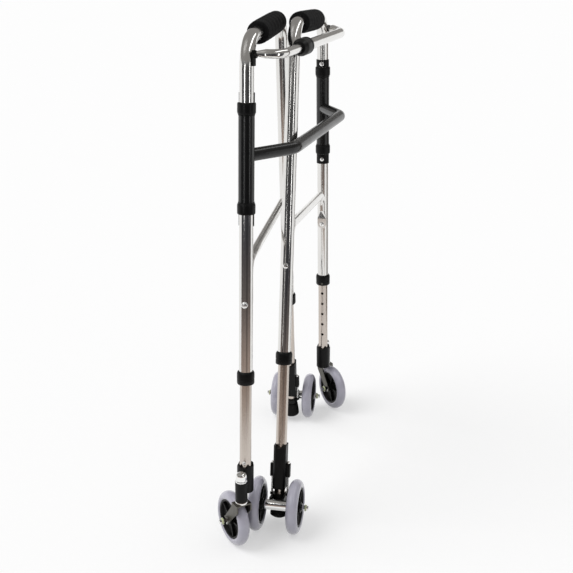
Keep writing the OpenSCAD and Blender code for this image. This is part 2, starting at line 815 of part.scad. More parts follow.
// The bracket slides on the extension and carries the axle tube behind it
module brake_bracket(s) {
    foot_t = 4;
    foot_y = extension_r + 3.5;
    color("#1b1b1d") on_rear_leg(s) difference() {
        union() {
            translate([0, 0, axle_w + 3]) cylinder(r = extension_r + 3.5, h = bracket_top - axle_w - 3);
            for (y = [foot_y - foot_t, -foot_y]) {
                translate([-5, y, axle_w + 3]) cube([axle_back + 5, foot_t, bracket_top - axle_w - 3]);
                translate([tip_d / 2 + 1, y, axle_w - 6])
                    cube([axle_back - tip_d / 2 - 1, foot_t, bracket_top - axle_w + 6]);
            }
            for (y = [-1, 1]) translate([0, y * spring_off, bracket_top - 4]) cylinder(r = spring_r + 1.4, h = 4);
        }
        translate([0, 0, axle_w - 20]) cylinder(r = extension_r + bracket_gap, h = 60);
        translate([axle_back, 0, axle_w]) rotate([90, 0, 0])
            cylinder(r = axle_tube_d / 2 + seat, h = 80, center = true);
    }
}

module brake_springs(s) {
    color("#cfcfd1") on_rear_leg(s) for (y = [-spring_off, spring_off]) translate([0, y, bracket_top]) {
        ring(spring_r - 1, spring_r, 0, ear_w0 - bracket_top + 5);
        cylinder(r = rod_r, h = ear_w0 + ear_len - bracket_top + 2);
        translate([0, 0, ear_w0 + ear_len - bracket_top + 0.5]) cylinder(r = 2.8, h = 4);
        cylinder(r = spring_r, h = 1.5);
    }
}

module rear_axle(s) {
    end = twin_track / 2 + tyre_w / 2 + bolt_free;
    inner = twin_track / 2 - tyre_w / 2 - 0.5;
    color("#d2d0c8") on_rear_axle(s) {
        ring(bolt_r + seat, axle_tube_d / 2, -axle_tube_half, 2 * axle_tube_half);
        translate([0, 0, -end]) cylinder(r = bolt_r, h = 2 * end);
        for (m = [0, 1]) mirror([0, 0, m]) {
            ring(bolt_r + seat, 8, inner - spacer_len + 0.1, spacer_len - 0.1);
            translate([0, 0, twin_track / 2 + tyre_w / 2 + 0.5]) ring(bolt_r + seat, 7, 0, 1.5);
            translate([0, 0, twin_track / 2 + tyre_w / 2 + 2.1]) lock_nut(12, 8);
        }
    }
}

// ---------------------------------------------------------------- nodes

lower_crossbar();
pivot_sleeve(1);  // right_sleeve
pivot_sleeve(-1);  // left_sleeve
sleeve_collars();
upper_bar();
upper_bar_arm();
bar_ferrule();
bar_clips();
frame_tube(1);  // right_frame
grip(1);  // right_grip
brace(1);  // right_brace
rivets(1);  // right_rivets
stop_clips(1);  // right_stop_clips
fold_button(1);  // right_fold_button
leg_collars(1);  // right_leg_collars
front_extension(1);  // right_front_extension
front_pin(1);  // right_front_pin
rear_extension(1);  // right_rear_extension
rear_pin(1);  // right_rear_pin
caster_socket(1);  // right_caster_socket
caster_cap(1);  // right_caster_cap
caster_fork(1);  // right_caster_fork
caster_bolt(1);  // right_caster_bolt
caster_tyre(1);  // right_caster_tyre
caster_hub(1);  // right_caster_hub
brake_housing(1);  // right_brake_housing
brake_tip(1);  // right_brake_tip
brake_bracket(1);  // right_brake_bracket
brake_springs(1);  // right_brake_springs
rear_axle(1);  // right_rear_axle
inner_tyre(1);  // right_inner_tyre
inner_hub(1);  // right_inner_hub
outer_tyre(1);  // right_outer_tyre
outer_hub(1);  // right_outer_hub
frame_tube(-1);  // left_frame
grip(-1);  // left_grip
brace(-1);  // left_brace
rivets(-1);  // left_rivets
stop_clips(-1);  // left_stop_clips
fold_button(-1);  // left_fold_button
leg_collars(-1);  // left_leg_collars
front_extension(-1);  // left_front_extension
front_pin(-1);  // left_front_pin
rear_extension(-1);  // left_rear_extension
rear_pin(-1);  // left_rear_pin
caster_socket(-1);  // left_caster_socket
caster_cap(-1);  // left_caster_cap
caster_fork(-1);  // left_caster_fork
caster_bolt(-1);  // left_caster_bolt
caster_tyre(-1);  // left_caster_tyre
caster_hub(-1);  // left_caster_hub
brake_housing(-1);  // left_brake_housing
brake_tip(-1);  // left_brake_tip
brake_bracket(-1);  // left_brake_bracket
brake_springs(-1);  // left_brake_springs
rear_axle(-1);  // left_rear_axle
inner_tyre(-1);  // left_inner_tyre
inner_hub(-1);  // left_inner_hub
outer_tyre(-1);  // left_outer_tyre
outer_hub(-1);  // left_outer_hub
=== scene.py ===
# %% [markdown]
# # A folding front wheeled walker
# The walker stands folded: its two side frames lie one in front of the other between the front
# legs. The imported model gives every tube, bolt and body at its real size. This script keeps the
# pieces whose shape is right, gives them real finishes, and models the soft and detailed pieces
# again: foam grips, tyres, hubs, coil springs, nuts, caps and collars. The first step loads the
# frame.

# %% Load the frame
import json
from math import atan2, cos, pi, radians, sin, tan

import bpy
from mathutils import Matrix, Vector


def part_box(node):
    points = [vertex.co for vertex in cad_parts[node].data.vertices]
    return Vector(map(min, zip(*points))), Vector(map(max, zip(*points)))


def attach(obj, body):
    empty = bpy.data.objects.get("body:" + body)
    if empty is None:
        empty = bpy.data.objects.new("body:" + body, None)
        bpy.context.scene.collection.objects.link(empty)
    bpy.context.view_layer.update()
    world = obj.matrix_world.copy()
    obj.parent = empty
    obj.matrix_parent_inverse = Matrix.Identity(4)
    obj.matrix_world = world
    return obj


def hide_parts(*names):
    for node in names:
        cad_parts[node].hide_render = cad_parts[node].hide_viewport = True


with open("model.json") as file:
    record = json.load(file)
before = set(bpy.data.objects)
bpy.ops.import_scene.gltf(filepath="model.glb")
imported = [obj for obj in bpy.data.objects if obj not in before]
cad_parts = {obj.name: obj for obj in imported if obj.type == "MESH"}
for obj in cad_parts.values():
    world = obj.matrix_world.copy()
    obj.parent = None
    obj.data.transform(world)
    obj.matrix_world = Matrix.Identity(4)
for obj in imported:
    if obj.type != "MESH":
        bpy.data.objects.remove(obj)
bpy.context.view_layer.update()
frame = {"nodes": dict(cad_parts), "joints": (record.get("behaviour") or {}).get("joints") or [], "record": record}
record = frame["record"]
nodes = frame["nodes"]
joints = {joint["name"]: joint for joint in frame["joints"]}
mounts = {mount["name"]: mount for mount in record["mounts"]}
MM = 0.001
SIDES = ("right", "left")

# %% [markdown]
# The camera looks down a little, from beyond the walker's right side and slightly in front of
# it, so the folded frame is seen edge on. A long lens keeps the legs nearly parallel. Its place
# is in metres, in the walker's own frame, and it is turned by its yaw and its pitch. It sees far
# enough to reach the edge of the studio's wide floor.

# %% Camera
CAMERA_PLACE = (1.81993, 0.5091, 1.04425)
CAMERA_YAW = radians(15.797)
CAMERA_PITCH = radians(18.848)
SENSOR_WIDTH = 36.0
LENS = 63.22
SIGHT = 200

camera_data = bpy.data.cameras.new("camera")
camera_data.sensor_width = SENSOR_WIDTH
camera_data.lens = LENS
camera_data.clip_end = SIGHT
camera = bpy.data.objects.new("camera", camera_data)
bpy.context.scene.collection.objects.link(camera)
camera.location = CAMERA_PLACE
view_direction = Vector((-cos(CAMERA_YAW) * cos(CAMERA_PITCH),
                         -sin(CAMERA_YAW) * cos(CAMERA_PITCH),
                         -sin(CAMERA_PITCH)))
camera.rotation_euler = view_direction.to_track_quat("-Z", "Y").to_euler()
bpy.context.scene.camera = camera
print("camera looks along", [round(c, 3) for c in view_direction])

# %% [markdown]
# Most of the new pieces are turned: a wheel, a cap, a collar and a foam grip are all an outline
# spun round an axis, as on a lathe. They could be built up from cylinders, but a lathe outline
# keeps each groove and rounded edge as one clean ring. The outline is drawn by extruding one
# vertex from point to point, and the spin operator turns it. The helper then merges the seam and
# makes the faces point outwards.

# %% Helpers for turned pieces
def deselect():
    bpy.ops.object.select_all(action="DESELECT")


def only(obj):
    deselect()
    obj.select_set(True)
    bpy.context.view_layer.objects.active = obj


def smooth(obj, angle=35):
    only(obj)
    bpy.ops.object.shade_smooth_by_angle(angle=radians(angle))


def turned(name, outline, steps=64):
    """An outline of (radius, height) points in millimetres, spun round Z."""
    deselect()
    bpy.ops.mesh.primitive_plane_add(size=MM)
    obj = bpy.context.object
    obj.name = obj.data.name = name
    bpy.ops.object.mode_set(mode="EDIT")
    bpy.ops.mesh.select_all(action="SELECT")
    bpy.ops.mesh.merge(type="CENTER")
    here = Vector((0, 0, 0))
    for count, (radius, height) in enumerate(outline):
        there = Vector((radius, 0, height)) * MM
        if count == 0:
            bpy.ops.transform.translate(value=there - here)
        else:
            bpy.ops.mesh.extrude_region_move(TRANSFORM_OT_translate={"value": there - here})
        here = there
    bpy.ops.mesh.select_all(action="SELECT")
    bpy.ops.mesh.spin(steps=steps, angle=2 * pi, center=(0, 0, 0), axis=(0, 0, 1))
    bpy.ops.mesh.select_all(action="SELECT")
    bpy.ops.mesh.remove_doubles(threshold=0.01 * MM)
    bpy.ops.mesh.normals_make_consistent(inside=False)
    bpy.ops.object.mode_set(mode="OBJECT")
    smooth(obj)
    return obj


print("helpers for turned pieces ready")

# %% [markdown]
# Every finish is a small node tree round one Principled shader. The helper makes the shader with
# its plain values set on its own sockets, and hands back the tree so that each finish adds its
# own texture: brushed streaks, polishing haze, moulded grain or foam pores. The textures are
# procedural and read object coordinates, in metres, so they need no image and no unwrapping.

# %% Helpers for finishes
def finish(name, color, roughness=0.4, metallic=0.0, **values):
    material = bpy.data.materials.new(name)
    material.use_nodes = True
    tree = material.node_tree
    shader = tree.nodes["Principled BSDF"]
    shader.inputs["Base Color"].default_value = (*color, 1)
    shader.inputs["Roughness"].default_value = roughness
    shader.inputs["Metallic"].default_value = metallic
    for socket, value in values.items():
        shader.inputs[socket.replace("_", " ")].default_value = value
    return material, tree, shader


def noise(tree, scale, detail=3.0, stretch=(1, 1, 1)):
    place = tree.nodes.new("ShaderNodeTexCoord")
    mapping = tree.nodes.new("ShaderNodeMapping")
    mapping.inputs["Scale"].default_value = stretch
    texture = tree.nodes.new("ShaderNodeTexNoise")
    texture.inputs["Scale"].default_value = scale
    texture.inputs["Detail"].default_value = detail
    tree.links.new(place.outputs["Object"], mapping.inputs["Vector"])
    tree.links.new(mapping.outputs["Vector"], texture.inputs["Vector"])
    return texture.outputs["Fac"]


def spread(tree, value, low, high, from_low=0.3, from_high=0.7):
    remap = tree.nodes.new("ShaderNodeMapRange")
    remap.inputs["From Min"].default_value = from_low
    remap.inputs["From Max"].default_value = from_high
    remap.inputs["To Min"].default_value = low
    remap.inputs["To Max"].default_value = high
    tree.links.new(value, remap.inputs["Value"])
    return remap.outputs["Result"]


def tint(tree, value, stops):
    ramp = tree.nodes.new("ShaderNodeValToRGB")
    while len(ramp.color_ramp.elements) < len(stops):
        ramp.color_ramp.elements.new(0.5)
    for element, (position, color) in zip(ramp.color_ramp.elements, stops):
        element.position = position
        element.color = (*color, 1)
    tree.links.new(value, ramp.inputs["Fac"])
    return ramp.outputs["Color"]


print("helpers for finishes ready")

# %% [markdown]
# A texture reaches the shader in three ways: it drifts the colour between stops, it drifts the
# roughness between two values, or it raises the surface as a bump. One helper does each.

# %% Helpers that put a texture to work
def vary_color(tree, shader, value, stops):
    tree.links.new(tint(tree, value, stops), shader.inputs["Base Color"])


def vary_roughness(tree, shader, value, low, high):
    tree.links.new(spread(tree, value, low, high), shader.inputs["Roughness"])


def bump(tree, shader, value, height, strength=1.0):
    node = tree.nodes.new("ShaderNodeBump")
    node.inputs["Strength"].default_value = strength
    node.inputs["Distance"].default_value = height
    tree.links.new(value, node.inputs["Height"])
    tree.links.new(node.outputs["Normal"], shader.inputs["Normal"])


print("texture helpers ready")

# %% [markdown]
# The side frames are polished aluminium, the leg extensions are duller, the bolts and springs are
# bright plated steel, and the caster forks and lock pins are dark plated steel. Real polished tube
# isn't a perfect mirror: it keeps a faint haze and fine scratches along its length, and its colour
# drifts a little. Stretched noise gives the scratches their length, and it drives the roughness
# more than the height, so that reflections stay long and clean. One helper makes all five metals,
# since they differ in colour and polish only.

# %% Metals
def metal(name, color, rough_low, rough_high, scratch=0.00001, drift=0.06):
    material, tree, shader = finish(name, color, rough_low, metallic=1.0)
    haze = noise(tree, 14, 4)
    lines = noise(tree, 900, 2, stretch=(1, 1, 0.02))
    dull = tuple(c * (1 - drift) for c in color)
    vary_color(tree, shader, haze, [(0.3, dull), (0.7, color)])
    vary_roughness(tree, shader, lines, rough_low, rough_high)
    bump(tree, shader, lines, scratch, 0.4)
    return material


polished = metal("polished tube", (0.80, 0.79, 0.77), 0.10, 0.18)
satin = metal("satin leg", (0.60, 0.54, 0.49), 0.22, 0.27, scratch=0.000004)
bright = metal("bright plating", (0.90, 0.90, 0.89), 0.06, 0.12)
rivet = metal("rivet head", (0.95, 0.95, 0.94), 0.34, 0.42)
dark_plate = metal("dark plate", (0.13, 0.125, 0.11), 0.30, 0.45, drift=0.2)
print("metals", [made.name for made in (polished, satin, bright, rivet, dark_plate)])

# %% [markdown]
# The sleeves and the lower crossbar are black enamel, which is glossy with a slight orange peel.
# The moulded plastic pieces are as dark, but duller and finely grained. The brake tips are black
# rubber, the dullest of the three, with a dusty drift in its colour. All three are a dark base
# with little specular, so that their shape is drawn by what they reflect.

# %% Black finishes
enamel, tree, shader = finish("black enamel", (0.006, 0.006, 0.006), 0.22,
                              Specular_IOR_Level=0.5)
peel = noise(tree, 420, 2)
vary_roughness(tree, shader, noise(tree, 30, 4), 0.18, 0.28)
bump(tree, shader, peel, 0.00004, 0.35)

plastic, tree, shader = finish("black plastic", (0.005, 0.005, 0.005), 0.38,
                               Specular_IOR_Level=0.17)
grain = noise(tree, 1500, 3)
vary_roughness(tree, shader, noise(tree, 60, 3), 0.32, 0.46)
bump(tree, shader, grain, 0.00004, 0.5)

rubber, tree, shader = finish("black rubber", (0.008, 0.008, 0.008), 0.6,
                              Specular_IOR_Level=0.12)
vary_color(tree, shader, noise(tree, 90, 4),
           [(0.35, (0.007, 0.007, 0.007)), (0.7, (0.014, 0.014, 0.014))])
bump(tree, shader, noise(tree, 900, 3), 0.00008, 0.6)
print("blacks", enamel.name, plastic.name, rubber.name)

# %% [markdown]
# The grips are closed-cell foam. Up close it has pores well under a millimetre across and a dusty
# sheen. Modelled pores would need far too many faces, so a fine Voronoi cell pattern lowers the
# surface instead, and the shader's sheen lightens its edges.

# %% Foam
PORE_SCALE = 1400
foam, tree, shader = finish("grip foam", (0.005, 0.005, 0.005), 0.8,
                            Specular_IOR_Level=0.1, Sheen_Weight=0.015)
place = tree.nodes.new("ShaderNodeTexCoord")
pores = tree.nodes.new("ShaderNodeTexVoronoi")
pores.inputs["Scale"].default_value = PORE_SCALE
tree.links.new(place.outputs["Object"], pores.inputs["Vector"])
vary_color(tree, shader, noise(tree, 160, 4),
           [(0.3, (0.004, 0.004, 0.004)), (0.75, (0.011, 0.011, 0.012))])
bump(tree, shader, pores.outputs["Distance"], 0.0004, 0.8)
print("foam", foam.name)

# %% [markdown]
# The tyres are a solid grey plastic with a lavender cast and a glossy skin, which a coat over a
# duller base gives. Cloudy noise keeps the grey from looking like paint. The lock nuts end in
# pale yellow nylon, which lets a little light in, so it has a trace of subsurface.

# %% Tyre and nylon
tyre_finish, tree, shader = finish("grey tyre", (0.44, 0.43, 0.50), 0.3,
                                   Coat_Weight=0.8, Coat_Roughness=0.07)
cloud = noise(tree, 55, 4)
vary_color(tree, shader, cloud, [(0.3, (0.41, 0.40, 0.475)), (0.7, (0.47, 0.46, 0.535))])
vary_roughness(tree, shader, noise(tree, 120, 3), 0.28, 0.42)
bump(tree, shader, noise(tree, 700, 2), 0.00003, 0.4)

nylon, tree, shader = finish("nut nylon", (0.62, 0.62, 0.38), 0.45, Subsurface_Weight=0.1)
vary_color(tree, shader, noise(tree, 300, 2),
           [(0.3, (0.56, 0.57, 0.33)), (0.7, (0.68, 0.68, 0.44))])
print("tyre and nut", tyre_finish.name, nylon.name)

# %% [markdown]
# Each carried-over node gets the finish of its material slot. The record names the slot of every
# node, so one table from slot to finish dresses them all. New pieces are finished by a helper,
# which gives each its material and its body, and hides the nodes that it stands for.

# %% Dress the CAD nodes
FINISHES = {
    "polished_aluminium": polished, "satin_aluminium": satin, "black_enamel": enamel,
    "black_plastic": plastic, "black_foam": foam, "black_rubber": rubber,
    "grey_tyre": tyre_finish, "bright_steel": bright, "dark_steel": dark_plate,
}
slot_of = {part["node"]: part["material_slot"] for part in record["subparts"]}


def dress(obj, material):
    obj.data.materials.clear()
    obj.data.materials.append(material)


def ready(obj, material, body, slot, *replaced):
    """Finishes a new piece: its material, the body that it rides on and its nodes; slot is not used."""
    dress(obj, material)
    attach(obj, body)
    if replaced:
        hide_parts(*replaced)


for name, obj in nodes.items():
    dress(obj, FINISHES[slot_of[name]])
print("dressed", len(nodes))

# %% [markdown]
# A turned piece is made upright at the origin and then laid along its own axis, such as a handle's
# or a wheel bolt's. The helper builds the turn from three directions at right angles, and applies
# it, so that the finished piece's own place and turn are nothing.

# %% Helper that lays a piece along an axis
def put(obj, place, axis):
    """Stands a piece with its Z along axis at place."""
    z = Vector(axis).normalized()
    x = Vector((0, 0, 1)).cross(z)
    if x.length < 1e-4:
        x = Vector((1, 0, 0))
    x.normalize()
    turn = Matrix((x, z.cross(x), z)).transposed().to_4x4()
    only(obj)
    obj.matrix_world = Matrix.Translation(Vector(place)) @ turn @ obj.matrix_world
    bpy.ops.object.transform_apply(location=True, rotation=True, scale=True)
    return obj


print("placing helper ready")

# %% [markdown]
# The foam grips are moulded sleeves with shallow finger waves and rounded ends, closed round the
# tube. A cylinder with a wave texture would keep a straight edge in profile, so the wave is in the
# outline itself, which is spun round the handle. One end's rounding is written once and mirrored.

# %% Foam grips
GRIP_HALF = 87.5
GRIP_BORE = 12.06
GRIP_RADIUS = 19.6
GRIP_END = 2.6
WAVE_HEIGHT = 0.9
WAVE_PITCH = 26.0
WAVE_STEPS = 56


def grip_outline():
    """(radius, distance along the grip): a rounded end, the waves and the other end."""
    end = [(GRIP_RADIUS - 0.3, GRIP_HALF - GRIP_END), (GRIP_RADIUS - 1.2, GRIP_HALF - 0.8),
           (GRIP_RADIUS - 3.0, GRIP_HALF), (GRIP_BORE, GRIP_HALF)]
    points = [(radius, -along) for radius, along in reversed(end)]
    for step in range(1, WAVE_STEPS):
        along = -GRIP_HALF + GRIP_END + 2 * (GRIP_HALF - GRIP_END) * step / WAVE_STEPS
        wave = WAVE_HEIGHT * sin(pi * (along + GRIP_HALF) / WAVE_PITCH) ** 2
        fade = 1 - (along / GRIP_HALF) ** 6
        points.append((GRIP_RADIUS - 0.3 + wave * fade, along))
    return points + end + [points[0]]


for side in SIDES:
    hold = mounts[side + "_grip_hold"]
    grip = turned(side + "_foam_grip", grip_outline(), 72)
    put(grip, hold["pos_m"], hold["axis"])
    ready(grip, foam, side + "_side_frame", "black_foam", side + "_grip")
    print(grip.name, len(grip.data.polygons), "faces")

# %% [markdown]
# A wheel is a solid tyre on a plastic hub. A torus would do for the tyre's tread, but not for the
# flat inner face that grips the hub, so the tyre is turned: its outline is nearly round, with a
# moulding line on each side beside the hub. It is spun in more steps than the small pieces,
# because its edge is long.

# %% Tyre
WHEEL_RADIUS = 50.8
TYRE_HALF = 11.0
TREAD_STEPS = 24
HUB_RADIUS = 36.95
WHEEL_STEPS = 96


def tyre_outline():
    lip = [(HUB_RADIUS + 0.05, 9.6), (HUB_RADIUS + 1.6, 10.5), (HUB_RADIUS + 2.2, 10.9)]
    points = [(radius, -height) for radius, height in lip]
    for step in range(TREAD_STEPS + 1):
        angle = radians(-90 + 180 * step / TREAD_STEPS)
        points.append((WHEEL_RADIUS - TYRE_HALF + TYRE_HALF * cos(angle), TYRE_HALF * sin(angle)))
    return points + lip[::-1] + [points[0]]


master_tyre = turned("master_tyre", tyre_outline(), WHEEL_STEPS)
print("tyre", len(master_tyre.data.polygons), "faces")

# %% [markdown]
# The hub has a rim, a deep dish, a thick boss and five ribs across the dish on each face. The dish
# is turned, from the outline of one face and the same outline the other way up. A lathe can't make
# ribs, so they are bars bevelled in edit mode and joined to the dish.

# %% Hub
RIBS = 5
RIB_SIZE = (22.5, 3.2, 5.2)
RIB_MIDDLE = 21.2
RIB_HEIGHT = 4.8
RIB_BEVEL = 0.7


def hub_outline():
    half = [(4.1, 11.0), (9.2, 11.0), (10.2, 10.4), (11.0, 3.2), (12.0, 2.4), (30.0, 2.4),
            (31.5, 3.2), (33.2, 8.6), (34.2, 9.3), (36.4, 9.3), (HUB_RADIUS, 8.7)]
    other = [(radius, -height) for radius, height in reversed(half)]
    return half + other + [half[0]]


def rib(angle, face):
    """A bevelled bar across the dish, on the face that is 1 or -1."""
    deselect()
    bpy.ops.mesh.primitive_cube_add(size=1)
    bar = bpy.context.object
    bar.scale = Vector(RIB_SIZE) * MM
    bar.location = (RIB_MIDDLE * MM, 0, face * RIB_HEIGHT * MM)
    bpy.ops.object.transform_apply(location=True, rotation=True, scale=True)
    bpy.ops.object.mode_set(mode="EDIT")
    bpy.ops.mesh.select_all(action="SELECT")
    bpy.ops.mesh.bevel(offset=RIB_BEVEL * MM, segments=2, affect="EDGES")
    bpy.ops.object.mode_set(mode="OBJECT")
    bar.rotation_euler = (0, 0, angle)
    only(bar)
    bpy.ops.object.transform_apply(location=False, rotation=True, scale=False)
    return bar


def joined(name, pieces):
    only(pieces[0])
    for piece in pieces:
        piece.select_set(True)
    bpy.ops.object.join()
    pieces[0].name = pieces[0].data.name = name
    return pieces[0]


dish = turned("dish", hub_outline(), WHEEL_STEPS)
ribs = [rib(2 * pi * count / RIBS, face) for count in range(RIBS) for face in (1, -1)]
master_hub = joined("master_hub", [dish] + ribs)
print("hub", len(master_hub.data.polygons), "faces")

# %% [markdown]
# The walker has six wheels, which are all alike: one on each caster and two on each rear axle.
# So one tyre and one hub are copied to every wheel's own joint, each with its own mesh, and the
# two masters are deleted.

# %% Six wheels
WHEELS = [(side, joint, wheel) for side in SIDES for joint, wheel in
          (("caster_roll", "caster"), ("inner_roll", "inner"), ("outer_roll", "outer"))]


def copied(obj, name):
    only(obj)
    bpy.ops.object.duplicate()
    twin = bpy.context.object
    twin.name = twin.data.name = name
    return twin


def joint_place(name):
    return Vector(joints[name]["pos_m"])


for side, joint, wheel in WHEELS:
    where = joint_place(side + "_" + joint)
    axis = joints[side + "_" + joint]["axis"]
    body = side + "_" + wheel + "_wheel"
    tyre = put(copied(master_tyre, side + "_" + wheel + "_solid_tyre"), where, axis)
    ready(tyre, tyre_finish, body, "grey_tyre", side + "_" + wheel + "_tyre")
    hub = put(copied(master_hub, side + "_" + wheel + "_dished_hub"), where, axis)
    ready(hub, plastic, body, "black_plastic", side + "_" + wheel + "_hub")
for master in (master_tyre, master_hub):
    only(master)
    bpy.ops.object.delete()
print("wheels", len(WHEELS))

# %% [markdown]
# The bolts, springs and collars stand in local frames, so that each can be modelled upright at the
# origin. Each side has one frame on its front leg, one on its rear leg, one on its caster swivel
# and one on each axle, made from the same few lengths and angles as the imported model. The left
# side is the right one mirrored. The distance from each axle frame to its joint is printed as a
# check, and it should be nothing.

# %% Local frames
HALF_TRACK = 300
REAR_FOOT = 525
STRAP_HEIGHT = 97
CASTER_REACH = 32
CASTER_TRAIL = 33
AXLE_BACK = 31
LEAN = radians(3)
RAKE = radians(13.2)
OPEN = {"right": radians(6), "left": radians(-4.5)}
TRAIL = {"right": radians(40), "left": radians(-40)}


def up_rear_leg(height, back=0.0):
    """How far up the rear leg a point is, from its height and its distance behind the leg."""
    return (height + REAR_FOOT * sin(LEAN) - back * sin(RAKE - LEAN)) / cos(RAKE - LEAN)


def moved(x=0.0, y=0.0, z=0.0):
    return Matrix.Translation(Vector((x, y, z)) * MM)


def rotated(angle, axis):
    return Matrix.Rotation(angle, 4, axis)


AXLE_UP = up_rear_leg(WHEEL_RADIUS, AXLE_BACK)
LEG, REAR_LEG, SWIVEL, CASTER_AXLE, REAR_AXLE = {}, {}, {}, {}, {}
for side in SIDES:
    mirror = Matrix.Identity(4) if side == "right" else Matrix.Scale(-1, 4, (1, 0, 0))
    swing = rotated(pi + OPEN[side], "Z")
    strap = moved(HALF_TRACK - STRAP_HEIGHT * tan(LEAN))
    LEG[side] = mirror @ moved(HALF_TRACK) @ rotated(-LEAN, "Y") @ swing
    REAR_LEG[side] = LEG[side] @ moved(REAR_FOOT) @ rotated(-RAKE, "Y")
    SWIVEL[side] = mirror @ strap @ swing @ moved(-CASTER_REACH)
    fork = SWIVEL[side] @ rotated(TRAIL[side], "Z")
    CASTER_AXLE[side] = fork @ moved(CASTER_TRAIL, 0, WHEEL_RADIUS) @ rotated(-pi / 2, "X")
    REAR_AXLE[side] = REAR_LEG[side] @ moved(AXLE_BACK, 0, AXLE_UP) @ rotated(-pi / 2, "X")
    twins = (joint_place(side + "_inner_roll") + joint_place(side + "_outer_roll")) / 2
    caster_error = (CASTER_AXLE[side].translation - joint_place(side + "_caster_roll")).length
    axle_error = (REAR_AXLE[side].translation - twins).length
    print(side, "frame errors in mm", round(caster_error / MM, 3), round(axle_error / MM, 3))

# %% [markdown]
# A piece stands in a local frame by taking the frame's matrix and applying it. On the left side the
# matrix mirrors the piece, which turns its faces inside out, so the helper makes them point
# outwards again.

# %% Helper that stands a piece in a local frame
def stand(obj, local):
    """Stands a piece in a local frame, and faces its mesh outwards again if that mirrored it."""
    only(obj)
    obj.matrix_world = local @ obj.matrix_world
    bpy.ops.object.transform_apply(location=True, rotation=True, scale=True)
    bpy.ops.object.mode_set(mode="EDIT")
    bpy.ops.mesh.select_all(action="SELECT")
    bpy.ops.mesh.normals_make_consistent(inside=False)
    bpy.ops.object.mode_set(mode="OBJECT")
    return obj


print("standing helper ready")

# %% [markdown]
# The brake springs are real coils. Turned rings would be simpler, but they would show as loose
# washers from the side, so a small circle of wire is screwed upwards by a Screw modifier and its
# open ends are closed. A turned guide rod with a flanged foot and a round nut runs up through each
# coil and out of the ear.

# %% Brake springs
SPRING_OFF = 14.8
BRACKET_RISE = 13
COIL_RADIUS = 2.05
WIRE_RADIUS = 0.5
COIL_LENGTH = 38.0
COIL_TURNS = 13
ROD = [(0, 0), (2.6, 0), (2.6, 1.2), (1.6, 1.5), (1.6, 58.6), (2.8, 58.6), (2.8, 61.6),
       (2.2, 62.4), (0, 62.4)]


def coil(name):
    deselect()
    bpy.ops.mesh.primitive_circle_add(
        vertices=8, radius=WIRE_RADIUS * MM, rotation=(pi / 2, 0, 0),
        location=(COIL_RADIUS * MM, 0, WIRE_RADIUS * MM))
    obj = bpy.context.object
    obj.name = obj.data.name = name
    bpy.ops.object.transform_apply(location=True, rotation=True, scale=True)
    screw = obj.modifiers.new("coil", "SCREW")
    screw.screw_offset = (COIL_LENGTH - 2 * WIRE_RADIUS) / COIL_TURNS * MM
    screw.iterations = COIL_TURNS
    screw.steps = screw.render_steps = 14
    bpy.ops.object.modifier_apply(modifier="coil")
    bpy.ops.object.mode_set(mode="EDIT")
    bpy.ops.mesh.select_all(action="SELECT")
    bpy.ops.mesh.fill_holes(sides=0)
    bpy.ops.object.mode_set(mode="OBJECT")
    smooth(obj, 60)
    return obj


for side in SIDES:
    body, replaced = side + "_brake_carriage", side + "_brake_springs"
    for face, offset in (("front", -SPRING_OFF), ("back", SPRING_OFF)):
        local = REAR_LEG[side] @ moved(0, offset, AXLE_UP + BRACKET_RISE)
        spring = stand(coil(side + "_" + face + "_brake_coil"), local)
        ready(spring, bright, body, "bright_steel", replaced)
        rod = stand(turned(side + "_" + face + "_guide_rod", ROD, 24), local)
        ready(rod, bright, body, "bright_steel", replaced)
print("springs", len(spring.data.polygons), "faces each")

# %% [markdown]
# Every axle bolt ends in a lock nut whose nylon insert shows as a pale yellow ring. The rings are
# turned pieces of their own, because a colour painted on the nut would have no raised edge. The
# casters have one each, and the rear axles one at each end.

# %% Nylon nut ends
CASTER_NUT_END = 22.05
REAR_NUT_END = 54.75
INSERT = [(4.05, 0), (5.7, 0), (5.9, 0.4), (5.9, 1.7), (5.2, 2.6), (4.4, 2.75), (4.05, 2.6),
          (4.05, 0)]
for side in SIDES:
    outer = REAR_AXLE[side] @ moved(z=REAR_NUT_END)
    inner = REAR_AXLE[side] @ moved(z=-REAR_NUT_END) @ rotated(pi, "X")
    spots = [("caster", CASTER_AXLE[side] @ moved(z=CASTER_NUT_END), "caster_swivel"),
             ("outer", outer, "brake_carriage"), ("inner", inner, "brake_carriage")]
    for name, local, body in spots:
        insert = stand(turned(side + "_" + name + "_nylon_end", INSERT, 32), local)
        ready(insert, nylon, side + "_" + body, None)
print("nylon ends", len(SIDES) * len(spots))

# %% [markdown]
# Each caster's swivel is closed by a bright acorn cap. It is turned in few steps, so that it keeps
# the flats of a nut without being cut to a hexagon. A bright bearing ring shows between the
# housing and the fork. Their heights are measured from the floor, up the swivel's axis.

